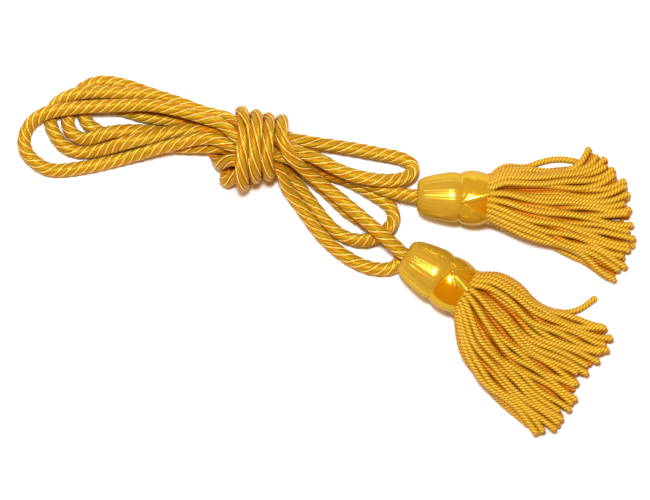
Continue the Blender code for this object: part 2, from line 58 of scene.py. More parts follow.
# along a tassel's axis from the end of its dome, and radii about the axis
AXIS_Z = 15.6            # height of the axis, the band's underside pressed flat on the floor
DOME_LEN = 25.5
NECK_END, NECK_R = 33.0, 12.6
BAND_START, BAND_END = 25.9, 41.2
BAND_IN = 13.3           # inner radius of the band
HEADER_END = 42.8        # face of the fringe's header, where its strands leave
SOCKET_R = 4.2           # hole in the dome for the cord

STRAND_D = 3.0           # a fringe strand, over its twisted plies
STRAND_GAP = 3.12        # centre to centre, at the least
STRAND_BEND = 25.0       # its tightest bend radius
STRAND_POINTS = 24       # on each strand's line
LAYER_RISE = 2.75        # from one layer of strands to the next
LAYER_ENDS = (21, 41)    # strands in the top layer, and in the top two together
LAYER_SHIFT = (0.25, 0.5, 0.75)     # places the strands of each layer over the gaps of the others
LANDED = 0.96            # share of a strand's length over which it falls to its layer's height
EDGE_POINTS = 61         # on a skirt's far side, near side and line of strand ends
SHORTER = (0.0, 0.035, 0.015, 0.05, 0.01, 0.03)     # shares of their length that strands fall short
LOCK_PULL, LOCK_CROSS = 0.006, 0.008    # how far the strands gather into locks, and cross other layers
ROOT_RINGS = ((13.0, 24), (9.7, 18), (6.4, 12), (3.1, 6), (0.0, 1))     # radius, strands
STRAY_HELD = slice(12, 14)      # points of the loose strand that keep their place


def at(x, y, z=0.0):
    """Millimetres from the piece's middle for a plan point; z is in millimetres already."""
    return ((x - MID_X) * UNIT, (MID_Y - y) * UNIT, z)


# ---- the cord's route: plan x, plan y, height of its centre line ----
TO_TASSEL_1 = ((424.5, 196.9, 15.6), (417, 196.6, 15.6), (409, 195.6, 14.2), (398, 193.3, 12),
               (384, 188.5, 11.6), (368, 183, 12), (350, 177, 12), (332, 169.5, 12), (317, 161, 11),
               (302, 150.5, 10), (286, 142.5, 10.5))
D_UPPER = ((268, 138, 11.5), (252, 137.5, 11.3), (240, 136, 10.5), (228, 132, 8.5), (213, 128.8, 5),
           (196, 126, 4), (176, 121.5, 4), (152, 118.8, 4), (138, 116, 4), (127, 112.5, 4), (113, 108.5, 4),
           (100, 105.2, 4), (91, 104.5, 4))
D_BEND = ((80.5, 107.5, 4), (77.3, 113.5, 4), (79.5, 121, 4), (87.5, 128.5, 4), (98, 133.5, 4),
          (110, 137, 4))
D_LOWER = ((125, 138.7, 4), (140, 141, 4), (160, 143.5, 4.6), (178, 144.6, 6.5), (193, 145, 8.5),
           (207, 145, 11), (222, 146, 12.2), (236, 149.5, 11.8))
F_LOWER = ((252, 151.5, 11.5), (270, 153.5, 12), (284, 163, 11), (295, 178, 8), (304, 191, 5),
           (315, 207.5, 4), (326, 223, 4), (339.5, 234.3, 4), (354, 239.3, 4.5), (369, 238.3, 8))
F_BEND = ((382, 231.5, 11.5), (391.5, 224, 9), (394.5, 213, 5), (389.5, 203.5, 4), (380, 196.5, 4))
F_UPPER = ((371, 191, 4), (362, 185.3, 4), (351, 179.3, 4), (336, 173.5, 4.2), (320, 169, 5.5),
           (304, 163, 13), (290, 156, 21))
A_UPPER = ((276, 152, 25), (260, 149.5, 25.3), (242, 136, 25.8), (228, 122.5, 22), (205, 115, 19.3),
           (180, 108, 18.3), (150, 103, 17.5), (125, 103.2, 16), (100, 103.5, 14.3), (78, 104.3, 13.5),
           (60, 106.5, 12))
A_BEND = ((44.5, 110.6, 10), (36.4, 115.4, 8.5), (30, 122.2, 6), (25.3, 131, 4.5), (24.1, 141, 4),
          (27.5, 151.7, 4), (36.8, 161, 4), (49.6, 167.8, 4), (66, 167.8, 4))
A_LOWER = ((86, 165, 4), (104, 161.3, 4), (125, 156, 5.5), (140, 151.7, 9), (151, 148.5, 11.2),
           (165, 145, 13.3), (180, 141.7, 16), (196, 138, 17.6), (213, 138.5, 19), (231, 147, 19.5))
G_LOWER = ((248, 156, 18.5), (263, 161, 18.5), (275, 172, 14), (283, 187, 8), (294.5, 201, 4.3),
           (308, 216.5, 4), (321, 232, 4), (335, 246, 4), (352, 258.8, 4), (368, 266.5, 4))
G_BEND = ((382.5, 269, 4), (395, 267, 4), (401, 259.5, 4), (398.5, 249.5, 4))
G_UPPER = ((385, 239, 4), (369, 226.5, 4), (355, 217.3, 4), (346, 210.8, 4), (335, 199.5, 4),
           (320, 185.5, 4.5), (306, 173.5, 7), (291, 160, 12))
B_LOWER = ((276, 147, 18), (260, 144.5, 18), (244, 142.5, 17.5), (230, 139, 16), (213, 133.8, 12),
           (196, 132.3, 11), (180, 132.4, 11.5), (165, 133.5, 13.3), (151, 137.3, 15.5), (140, 139, 16),
           (125, 142, 15.2), (110, 146.3, 9), (92, 150.3, 4.5))
B_BEND = ((75, 151, 4), (66, 147.5, 4), (60, 142, 4), (54, 132.8, 4), (50.8, 122.5, 4), (52, 112.5, 5),
          (58.5, 105.3, 7.5), (69, 99.3, 11))
B_UPPER = ((82, 95.6, 12.2), (100, 94, 10.8), (125, 95.5, 11), (150, 96.3, 11.8), (180, 104.7, 11.4),
           (205, 114.5, 12), (228, 120.5, 14.6), (241, 129, 20), (254, 137, 24.5), (270, 138.5, 25))
E_LOWER = ((286, 147, 25.5), (300, 155, 23.5), (315, 161.5, 20.5), (332, 170.5, 19.8), (350, 178.7, 19.6),
           (370, 184, 18.5), (388, 186.2, 14))
E_BEND = ((403, 184, 10), (413, 177.5, 7), (412.5, 169, 5))
E_UPPER = ((401, 162.3, 4.5), (382, 158, 5.5), (358, 153.3, 6.5), (335, 149.5, 7.5), (315, 146.8, 10),
           (298, 143.8, 13), (284, 139.3, 15.5), (270, 133, 17.5), (256, 131.5, 17.5))
C_UPPER = ((241, 129, 15.5), (228, 121, 9), (205, 114.3, 4.3), (180, 104.3, 4), (150, 93.5, 4), (125, 85, 4),
           (108, 82, 4), (95, 83, 4))
C_BEND = ((84, 88.5, 4), (76.5, 98, 4), (73, 107, 4), (70.2, 115, 4), (70, 122, 4), (71.8, 129, 4),
          (77, 135, 4), (85, 138.5, 4.5), (95, 138, 7.5))
C_LOWER = ((104, 135.3, 10.5), (114, 132.8, 12), (125, 131.8, 11.2), (140, 131.5, 9.6), (151, 132, 8),
           (163, 133, 5.3), (176, 134, 4), (192, 135, 4), (204, 139, 4), (215, 146, 4))
FIRST_LOBE = ((222.5, 154, 4.6), (225.5, 159, 8), (227, 160, 12.5), (231.5, 157.5, 17), (238, 154, 20.5),
              (247, 156, 24), (250.5, 165, 21.5), (245, 173.5, 16.5), (236.5, 180, 12.5))
SECOND_LOBE = ((228.5, 184.5, 8.5), (225.8, 180, 4), (232, 164, 4), (239, 141, 4), (244, 121, 7.5))
# turns of the wrap: x of upper point, shoulder, front and lower point, y of the middle, half width, crest
TURNS = ((243.7, 248.5, 244.5, 244, 146.5, 33.2, 33.5), (257.5, 258.5, 256.0, 257.5, 145.2, 32.0, 35.5),
         (270.0, 268.0, 267.0, 270.5, 147.0, 23.5, 34.0))
WRAP_MID_Z = 19.0
LAST_TURN = ((275.5, 116.5, 17), (273.5, 123.5, 27), (274, 135, 33), (280, 148, 33), (289.5, 160, 29))
TO_TASSEL_2 = ((301, 169.5, 21), (314, 179.2, 15.5), (329, 190.8, 12.3), (343.5, 203, 12.6),
               (359.5, 216, 15), (375, 229.2, 18.5), (389, 240.7, 18.8), (397.5, 248.4, 17.2),
               (404.4, 254.8, 15.7), (411, 258.9, 15.6))
# plan x, how slim the cord is there, drawn in towards the knot, and the length of a turn of its twist
DRAWN_IN = ((50, 1.0, 21.6), (110, 1.0, 23), (150, 0.96, 25), (190, 0.92, 28), (230, 0.88, 36),
            (295, 0.88, 36), (325, 0.93, 30), (350, 1.0, 26), (390, 1.0, 22.5), (420, 1.0, 21.6))
WRAP_SLIM, WRAP_PITCH = 0.94, 52.0
WRAP_POINTS = 12         # on each turn of the wrap
WRAP_ROUND = 0.8         # 1 for an oval turn, less for a squarer one

# ---- the tassels: plan x and y of the dome's end, degrees that the axis turns to the near edge, girth ----
TASSEL_1 = (417.0, 196.2, 2.0, 1.0)
TASSEL_2 = (404.5, 255.2, 31.5, 1.045)

# ---- the skirts: plan points of the far side, the near side and the strand ends from far to near, and the
# line of the loose strand with its heights ----
FAR_1 = ((489, 168.5), (500, 165.5), (523, 169), (547, 171.5), (566, 169.5), (580, 161.5), (589, 147))
NEAR_1 = ((489, 225.5), (502, 230), (523, 237.5), (545, 243.7), (567, 252), (583, 259), (599, 273),
          (613, 283))
ENDS_1 = ((589, 147), (603.5, 153), (611, 161), (617.5, 169), (623, 176), (631, 184), (631.5, 197),
          (633.5, 208), (633.5, 220), (633.5, 231), (637, 240), (636.5, 249), (629, 255), (627, 269.5),
          (614, 284))
STRAY_1 = ((489, 168.5, 14), (507, 164.5, 7), (524, 166.5, 2.2), (539, 162.2, 1.5), (550, 159.8, 1.5),
           (561, 159.2, 1.5), (569, 160, 1.5), (576, 161.4, 1.5))
FAR_2 = ((481.5, 268.5), (496, 269.5), (507, 276), (517, 283), (525.5, 290.5), (533, 299.5), (545, 308.7),
         (561, 316), (577, 321), (592, 324.5), (603, 324.5))
NEAR_2 = ((447.5, 316.5), (450, 323), (453.5, 333), (458, 346), (463, 358), (473, 371.5), (486, 386),
          (502, 399.5), (516, 413), (525.5, 423.5), (534, 433.5))
ENDS_2 = ((603, 324.5), (613.5, 331), (615.5, 341), (611, 352), (602, 360), (593, 366), (591.5, 373),
          (584, 377.5), (580, 387), (577.5, 395), (579, 404), (574, 411), (564, 419), (563.5, 430),
          (553, 432), (547, 436), (534, 433.5))
STRAY_2 = ((481.5, 268.5, 14), (501, 273.5, 8), (514, 280.5, 3.5), (523, 288, 1.5), (531.5, 298, 1.5),
           (543.5, 307, 1.5), (556, 312, 1.5), (568, 313.5, 1.5), (580, 310.5, 1.5), (589, 304, 1.5),
           (597, 297, 1.5))


def wrap_route():
    """Plan points and heights of the wrap's turns, each going over the hank and back under it."""
    out = []
    for k, (top, shoulder, front, low, mid, half, crest) in enumerate(TURNS):
        after = TURNS[k + 1][0] if k + 1 < len(TURNS) else LAST_TURN[0][0]
        for j in range(WRAP_POINTS):
            turn = 2 * math.pi * j / WRAP_POINTS
            c = math.copysign(abs(math.cos(turn)) ** WRAP_ROUND, math.cos(turn))
            s = math.copysign(abs(math.sin(turn)) ** WRAP_ROUND, math.sin(turn))
            x = float(np.interp(j, (0, 2, 3.5, 6, 12), (top, shoulder, front, low, after)))
            rise = crest - WRAP_MID_Z if s > 0 else WRAP_MID_Z - CORD_D / 2
            out.append((x, mid - half * c, WRAP_MID_Z + rise * s))
    return tuple(out)


def smooth(points, per=10):
    """A centripetal Catmull-Rom line through the points; columns after the third go along with them."""
    p = np.vstack([2 * points[0] - points[1], points, 2 * points[-1] - points[-2]])
    out = []
    for i in range(1, len(p) - 2):
        q = p[i - 1:i + 3]
        k = np.concatenate([[0], np.cumsum(np.linalg.norm(np.diff(q[:, :3], axis=0), axis=1) ** 0.5)])
        t = np.linspace(k[1], k[2], per, endpoint=False)[:, None]
        a = [(k[j + 1] - t) / (k[j + 1] - k[j]) * q[j] + (t - k[j]) / (k[j + 1] - k[j]) * q[j + 1]
             for j in range(3)]
        b = [(k[j + 2] - t) / (k[j + 2] - k[j]) * a[j] + (t - k[j]) / (k[j + 2] - k[j]) * a[j + 1]
             for j in range(2)]
        out.append((k[2] - t) / (k[2] - k[1]) * b[0] + (t - k[1]) / (k[2] - k[1]) * b[1])
    return np.vstack(out + [p[-2][None]])


def soften(points, per=6):
    """A cubic B-spline over the points, which keeps near them and rounds their bends."""
    p = np.vstack([2 * points[0] - points[1], points, 2 * points[-1] - points[-2]])
    t = (np.arange(per) / per)[:, None]
    out = [((1 - t) ** 3 * p[i - 1] + (3 * t ** 3 - 6 * t ** 2 + 4) * p[i]
            + (-3 * t ** 3 + 3 * t ** 2 + 3 * t + 1) * p[i + 1] + t ** 3 * p[i + 2]) / 6
           for i in range(1, len(p) - 2)]
    return np.vstack(out + [points[-1][None]])


def length_along(line):
    """Length along a line up to each of its points."""
    return np.concatenate([[0], np.cumsum(np.linalg.norm(np.diff(line[:, :3], axis=0), axis=1))])


def evenly(line, step=None, count=None):
    """The line with its points step apart, or count of them."""
    run = length_along(line)
    count = count or int(round(run[-1] / step)) + 1
    where = np.linspace(0, run[-1], count)
    return np.stack([np.interp(where, run, line[:, k]) for k in range(line.shape[1])], 1)


def settle(home, need, floor, skip, rounds, least_bend, held):
    """Moves lines (lines, points, 3) apart until their points are need mm apart, and off the floor.

    need and floor are numbers, or arrays with one for each point. Points of one line within skip of each
    other are let be. The moves are smoothed along each line; bends tighter than least_bend are eased; held
    points stay."""
    lines, points = home.shape[:2]
    total = lines * points
    need = np.broadcast_to(need, (lines, points)).reshape(-1)
    line = np.repeat(np.arange(lines), points)
    step = np.tile(np.arange(points), lines)
    space = np.linalg.norm(home[:, 1:] - home[:, :-1], axis=2).mean()
    most = space ** 2 / (2 * least_bend)
    move = np.zeros_like(home)
    for r in range(rounds):
        last = r >= 0.7 * rounds
        now = (home + move).reshape(-1, 3)
        if r % 12 == 0:
            # the pairs near enough to meet before the next look
            first, second = [], []
            for i in range(total - 1):
                near = ((now[i + 1:] - now[i]) ** 2).sum(1) < (need.max() + 3.0) ** 2
                j = np.nonzero(near)[0] + i + 1
                j = j[(line[j] != line[i]) | (step[j] - step[i] > skip)]
                first.append(np.full(len(j), i))
                second.append(j)
            first, second = np.concatenate(first), np.concatenate(second)
            gap = 0.5 * (need[first] + need[second])
        d = now[first] - now[second]
        size = np.sqrt((d ** 2).sum(1))
        hit = size < gap
        i, j = first[hit], second[hit]
        d = d[hit] * ((gap[hit] - size[hit]) / np.maximum(size[hit], 1e-6))[:, None]
        hits = np.maximum(np.bincount(i, minlength=total) + np.bincount(j, minlength=total), 1)[:, None]
        push = np.stack([np.bincount(i, d[:, k], total) - np.bincount(j, d[:, k], total)
                         for k in range(3)], 1)
        push *= (0.5 if last else 0.6) / (np.sqrt(hits) if last else hits)
        move += push.reshape(home.shape)
        now = home + move
        move[..., 2] += np.maximum(floor - now[..., 2], 0)
        now = home + move
        bow = 0.5 * (now[:, 2:] + now[:, :-2]) - now[:, 1:-1]
        size = np.linalg.norm(bow, axis=2, keepdims=True)
        move[:, 1:-1] += bow * np.maximum(size - most, 0) / np.maximum(size, 1e-9)
        for _ in range(1 if last else 5):
            mean = move.copy()
            mean[:, 1:-1] = 0.5 * move[:, 1:-1] + 0.25 * (move[:, :-2] + move[:, 2:])
            move = mean
        if not last:
            move *= 0.985
        move[held] = 0
    now = home + move
    now[..., 2] = np.maximum(now[..., 2], floor)
    return now


def cord_line():
    """The cord's centre line, with two more columns: how slim it is, and the length of a twist's turn."""
    loops = (TO_TASSEL_1 + D_UPPER + D_BEND + D_LOWER + F_LOWER + F_BEND + F_UPPER + A_UPPER + A_BEND
             + A_LOWER + G_LOWER + G_BEND + G_UPPER + B_LOWER + B_BEND + B_UPPER + E_LOWER + E_BEND + E_UPPER
             + C_UPPER + C_BEND + C_LOWER)
    wrap = FIRST_LOBE + SECOND_LOBE + wrap_route() + LAST_TURN
    drawn = np.array(DRAWN_IN)

    def rows(table):
        return [at(*p) + tuple(np.interp(p[0], drawn[:, 0], drawn[:, k]) for k in (1, 2)) for p in table]

    table = rows(loops) + [at(*p) + (WRAP_SLIM, WRAP_PITCH) for p in wrap] + rows(TO_TASSEL_2)
    home = evenly(smooth(np.array(table)), step=ROUTE_STEP)
    slim, pitch = home[:, 3], home[:, 4]
    held = np.zeros((1, len(home)), bool)
    held[:, :4] = held[:, -4:] = True
    line = settle(home[None, :, :3], need=CORD_APART * slim[None], floor=CORD_CORNER * slim[None] + 0.05,
                  skip=5, rounds=600, least_bend=CORD_BEND, held=held)[0]
    return soften(np.column_stack([line, slim, pitch]))


def lay_angle(pitch, step):
    """Angle of the twist at points step mm apart."""
    turns = np.cumsum(step / pitch)
    return -2 * math.pi * (turns - turns[0])


def sweep_frames(line):
    """A pair of untwisted cross directions along a line."""
    t = np.gradient(line, axis=0)
    t /= np.linalg.norm(t, axis=1)[:, None]
    n = np.zeros_like(t)
    start = np.cross((0, 0, 1), t[0])
    n[0] = start / np.linalg.norm(start)
    for i in range(1, len(t)):
        v = n[i - 1] - t[i] * np.dot(n[i - 1], t[i])
        n[i] = v / np.linalg.norm(v)
    return n, np.cross(t, n)


def tassel_frame(tassel):
    """The end of a tassel's dome, and the directions along its axis, to its side and up."""
    x, y, turn, _ = tassel
    a = math.radians(-turn)
    origin = np.array(at(x, y, AXIS_Z))
    along = np.array((math.cos(a), math.sin(a), 0.0))
    side = np.array((-math.sin(a), math.cos(a), 0.0))
    return origin, along, side, np.array((0.0, 0.0, 1.0))


def roots():
    """Places of the strands on the header's face, (across, up), from its rim inwards."""
    out = []
    for ring, (r, count) in enumerate(ROOT_RINGS):
        for k in range(count):
            a = 2 * math.pi * (k + 0.5 * (ring % 2)) / count + 0.04
            out.append((r * math.cos(a), r * math.sin(a)))
    return out


def strand_lines(tassel, far, near, ends, stray):
    """The lines of a skirt's strands, laid in three layers that fan out on the floor, and pushed apart."""
    origin, along, side, up = tassel_frame(tassel)
    face = origin + HEADER_END * along
    place = roots()
    order = sorted(range(len(place)), key=lambda i: -place[i][1])
    far, near, ends, stray = (np.array([at(*p) for p in table]) for table in (far, near, ends, stray))
    far, near = evenly(smooth(far), count=EDGE_POINTS), evenly(smooth(near), count=EDGE_POINTS)
    ends = evenly(ends, count=EDGE_POINTS)
    t = np.linspace(0, 1, STRAND_POINTS)
    fine = np.linspace(0, 1, EDGE_POINTS)
    home = np.zeros((len(place), STRAND_POINTS, 3))
    layers = (order[:LAYER_ENDS[0]], order[LAYER_ENDS[0]:LAYER_ENDS[1]], order[LAYER_ENDS[1]:])
    for layer, members in enumerate(layers):
        members = sorted(members, key=lambda i: -place[i][0])
        for rank, i in enumerate(members):
            f = (rank + LAYER_SHIFT[layer]) / len(members)
            root = face + place[i][0] * side + place[i][1] * up
            # strands differ a little in length, gather into locks and cross those of other layers
            short = SHORTER[(rank * 5 + layer * 2) % len(SHORTER)] + 0.012 * layer
            u = t * (1 - short)
            inside = min(1.0, 7 * f * (1 - f))
            lock = LOCK_PULL * math.sin(2 * math.pi * (6 + layer) * f + 1.7 * layer)
            across = LOCK_CROSS * math.sin(2 * math.pi * (3.3 + 0.7 * layer) * f + 2.1 * layer)
            g = f + inside * (lock * np.sin(math.pi * t) + across * t ** 1.5)
            edge = [np.stack([np.interp(u, fine, e[:, k]) for k in range(2)], 1) for e in (far, near)]
            tip = np.stack([np.interp(g, fine, ends[:, k]) for k in range(2)], 1)
            g = g[:, None]
            whole = (1 - g) * far[-1, :2] + g * near[-1, :2]
            plan = (1 - g) * edge[0] + g * edge[1] + (u ** 1.6)[:, None] * (tip - whole)
            plan = plan + ((1 - t) ** 5)[:, None] * (root[:2] - plan[0])
            low = STRAND_D / 2 + (2 - layer) * LAYER_RISE
            fall = np.clip(t / LANDED, 0, 1)
            fall = fall * fall * (3 - 2 * fall)
            home[i, :, :2] = plan
            home[i, :, 2] = root[2] + (low - root[2]) * fall
    # the first strand on the far side lies loose, in its own curve on the floor
    loose = max(layers[1], key=lambda i: place[i][0])
    root = face + place[loose][0] * side + place[loose][1] * up
    line = evenly(smooth(stray), count=STRAND_POINTS)
    home[loose] = line + ((1 - t) ** 3)[:, None] * (root - line[0])
    held = np.zeros(home.shape[:2], bool)
    held[:, 0] = True
    held[loose, STRAY_HELD] = True
    lines = settle(home, need=STRAND_GAP, floor=STRAND_D / 2, skip=STRAND_POINTS, rounds=500,
                   least_bend=STRAND_BEND, held=held)
    return lines, loose


# ---- camera ----
PHOTO_W = 650                   # plan units across the picture
CAMERA_DISTANCE = 5.0           # metres, long enough that the view is all but parallel
TRUE_HEIGHT = 0.008             # metres, the height at which a plan unit is true
SENSOR = 36.0                   # mm
LOOK_X, LOOK_Y = 325.0, 250.0   # plan point at the middle of the picture

camera_data = bpy.data.cameras.new("camera")
camera = bpy.data.objects.new("camera", camera_data)
scene.collection.objects.link(camera)
camera_data.sensor_width = SENSOR
camera_data.lens = SENSOR * (CAMERA_DISTANCE - TRUE_HEIGHT) / (PHOTO_W * UNIT * MM)
look = at(LOOK_X, LOOK_Y)
camera.location = (look[0] * MM, look[1] * MM, CAMERA_DISTANCE)
camera_data.clip_start, camera_data.clip_end = 0.1, 20.0
scene.camera = camera


# ---- meshes ----
def make_piece(name, verts, quads, caps, thread, slot, body="root"):
    """A piece from vertices (N, 3), quads (M, 4) with thread coordinates (M, 4, 2), and cap polygons."""
    mesh = bpy.data.meshes.new(name)
    quads = np.asarray(quads, dtype=np.int32)
    flat = [quads.reshape(-1)] + [np.asarray(c, dtype=np.int32) for c in caps]
    sizes = np.concatenate([np.full(len(quads), 4, np.int32), np.array([len(c) for c in caps], np.int32)])
    loops = np.concatenate(flat)
    mesh.vertices.add(len(verts))
    mesh.vertices.foreach_set("co", (np.asarray(verts, np.float64) * MM).astype(np.float32).reshape(-1))
    mesh.loops.add(len(loops))
    mesh.loops.foreach_set("vertex_index", loops)
    mesh.polygons.add(len(sizes))
    mesh.polygons.foreach_set("loop_start", np.concatenate([[0], np.cumsum(sizes)[:-1]]).astype(np.int32))
    mesh.polygons.foreach_set("loop_total", sizes)
    mesh.polygons.foreach_set("use_smooth", np.ones(len(sizes), bool))
    layer = mesh.uv_layers.new(name="thread")
    uv = np.zeros((len(loops), 2), np.float32)
    uv[:quads.size] = np.asarray(thread, np.float32).reshape(-1, 2)
    layer.data.foreach_set("uv", uv.reshape(-1))
    mesh.update(calc_edges=True)
    mesh.validate()
    ob = bpy.data.objects.new(name, mesh)
    scene.collection.objects.link(ob)
    mesh.materials.append(MATERIALS[slot])
    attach(ob, body)
    return ob


def tube_grid(rings, around, first):
    """Quads of a tube of rings, each of around vertices, numbered from first."""
    i = np.arange(rings - 1)[:, None] * around
    k = np.arange(around)[None, :]
    m = (k + 1) % around
    return (np.stack([i + k, i + m, i + around + m, i + around + k], -1) + first).reshape(-1, 4)


def grid_thread(across, along):
    """Thread coordinates for tube_grid's quads, from those round the girth and those along it."""
    u0, v0 = np.meshgrid(across[:-1], along[:-1])
    u1, v1 = np.meshgrid(across[1:], along[1:])
    corners = [np.stack(pair, -1) for pair in ((u0, v0), (u1, v0), (u1, v1), (u0, v1))]
    return np.stack(corners, -2).reshape(-1, 4, 2)


def add_tube(parts, ring, width, length_step, offset):
    """Adds a tube (rings, around, 3), closed and kept off the floor, to the lists of vertices, quads, caps
    and thread coordinates in parts."""
    verts, quads, caps, thread = parts
    rings, around = ring.shape[:2]
    first = sum(len(v) for v in verts)
    ring[..., 2] = np.maximum(ring[..., 2], FLOOR_GAP)
    verts.append(ring.reshape(-1, 3))
    quads.append(tube_grid(rings, around, first))
    thread.append(grid_thread(np.arange(around + 1) * width / around + offset[0],
                              np.arange(rings) * length_step + offset[1]))
    caps.append(first + np.arange(around)[::-1])
    caps.append(first + (rings - 1) * around + np.arange(around))


def joined(parts):
    """The lists that add_tube filled, ready for make_piece."""
    verts, quads, caps, thread = parts
    return np.concatenate(verts), np.concatenate(quads), caps, np.concatenate(thread)


CELL = 1.2      # size of the squares in which heights are compared for the painted shade in hollows


def paint_hollow_shade(pieces, start, span):
    """Point attribute of painted shade: 0 on top, 1 deep between strands.

    It grows from start below what stands close by on both sides, over a further span."""
    places = []
    for ob in pieces:
        co = np.zeros(len(ob.data.vertices) * 3)
        ob.data.vertices.foreach_get("co", co)
        places.append(co.reshape(-1, 3) / MM)
    low = np.concatenate(places)[:, :2].min(0) - 2 * CELL
    shape = np.ceil((np.concatenate(places)[:, :2].max(0) - low) / CELL).astype(int) + 4
    top = np.zeros(shape)
    for co in places:
        i, j = ((co[:, :2] - low) / CELL).astype(int).T
        np.maximum.at(top, (i, j), co[:, 2])
    near = np.zeros(shape)
    for di, dj in ((1, 0), (0, 1), (1, 1), (1, -1)):
        sides = [np.maximum(np.roll(top, (k * di, k * dj), (0, 1)),
                            np.roll(top, (2 * k * di, 2 * k * dj), (0, 1))) for k in (1, -1)]
        near = np.maximum(near, np.minimum(*sides))
    for ob, co in zip(pieces, places):
        i, j = ((co[:, :2] - low) / CELL).astype(int).T
        deep = np.clip((near[i, j] - co[:, 2] - start) / span, 0, 1)
        ob.data.attributes.new("hollow_shade", "FLOAT", "POINT").data.foreach_set("value", deep.astype(np.float32))


def normalised(v):
    """Vectors of length 1."""
    return v / np.linalg.norm(v, axis=-1, keepdims=True)


# ---- materials ----
CORD_STRAND_OUT, CORD_STRAND_R = 2.42, 1.70     # from the cord's centre line to a strand's, and its radius
CORD_YARN = 10.68 / 7       # width of a yarn, seven of them round a strand
PIPING_OUT, PIPING_R = 3.44, 0.46               # the thin thread laid in each groove, painted lighter as a highlight
PIPING_U = 100.0            # added to the piping's thread coordinates, to tell it from the strands
PIPING_FROM = 90.0          # above every strand's coordinates and below the piping's
PLIES, PLY_GIRTH = 3, 3.2   # of a strand of fringe, and the thread coordinate over one of them
PAINTED_LIT_SIDE = 0.35          # how far the side of a strand painted lightest is turned from the outermost, radians


def node(tree, kind, **values):
    """A new node: in_NAME sets its input NAME, and the rest are its properties."""
    made = tree.nodes.new(kind)
    for key, value in values.items():
        if key.startswith("in_"):
            made.inputs[key[3:]].default_value = value
        else:
            setattr(made, key, value)
    return made


def math_node(tree, operation, a, b=None, clamp=False):
    """The output of a sum on numbers or sockets."""
    made = tree.nodes.new("ShaderNodeMath")
    made.operation = operation
    made.use_clamp = clamp
    for index, value in enumerate((a, b)):
        if value is None:
            continue
        if isinstance(value, (int, float)):
            made.inputs[index].default_value = value
        else:
            tree.links.new(value, made.inputs[index])
    return made.outputs[0]


def mix_colour(tree, amount, a, b):
    """The output of a mix from a to b; each is a colour or a socket."""
    made = tree.nodes.new("ShaderNodeMix")
    made.data_type = "RGBA"
    for socket, value in ((made.inputs[0], amount), (made.inputs[6], a), (made.inputs[7], b)):
        if isinstance(value, (int, float, tuple)):
            socket.default_value = value
        else:
            tree.links.new(value, socket)
    return made.outputs[2]


# folds of each ribbon: place along the axis and angle in degrees of both ends, radius of the crest (0 for a
# low fold), height, width
FOLDS = {
    1: ((26.0, 100, 41.6, 82, 16.3, 0.0, 2.6), (26.6, 103, 41.4, 139, 0, 0.5, 0.7),
        (27.0, 96, 30.0, 80, 0, 0.4, 0.6), (27.5, 40, 33.0, 52, 0, 0.25, 0.9)),
    2: ((28.0, 68, 41.8, 86, 16.4, 0.0, 2.4), (27.5, 70, 40.8, 17, 0, 0.6, 0.8),
        (26.0, 104, 28.4, 67, 0, 0.5, 0.7), (28.6, 70, 34.6, 92, 0, 0.5, 0.7),
        (34.0, 90, 41.2, 114, 0, 0.35, 0.7)),
}
# facets turned away, sunk and painted with shade: place along the axis and angle of the point where each
# opens, angles of its two sides at the band's end, depth
FACETS = {
    1: ((27.0, 102, 87, 137, 0.9),),
    2: ((28.6, 66, 20, 70, 0.8), (30.0, 92, 104, 124, 0.5)),
}
BAND_2_V = 100.0            # added to the second tassel's thread coordinate along its axis
GIRTH = 84.0                # thread coordinate once round a head or band


def facet_shade_mask(tree, u, v, shape):
    """Mask of painted shade: up to 1 inside one of the ribbon's facets and its twin half way round, from the
    thread coordinates.
    """
    calc = partial(math_node, tree)
    s0, a0, opens, shuts, _ = shape
    along = calc("DIVIDE", calc("SUBTRACT", v, s0), BAND_END - s0, clamp=True)
    half = calc("MULTIPLY", along, (shuts - opens) / 2)
    mid = calc("ADD", calc("MULTIPLY", along, (opens + shuts) / 2 - a0), a0 - 90)
    turn = calc("SUBTRACT", calc("MULTIPLY", u, 360 / GIRTH), mid)
    off = calc("ABSOLUTE", calc("SUBTRACT", calc("MODULO", turn, 180), 90))
    inside = calc("MULTIPLY", calc("SUBTRACT", half, off), 0.5, clamp=True)
    deepening = calc("ADD", calc("MULTIPLY", along, 0.75), 0.2)
    return calc("MULTIPLY", inside, deepening)


FIBRE_DRAWN = 0.06          # how slowly the fibres change along the thread, against across it
FIBRE_RELIEF = 0.55         # height of a fibre, against 1 for a yarn


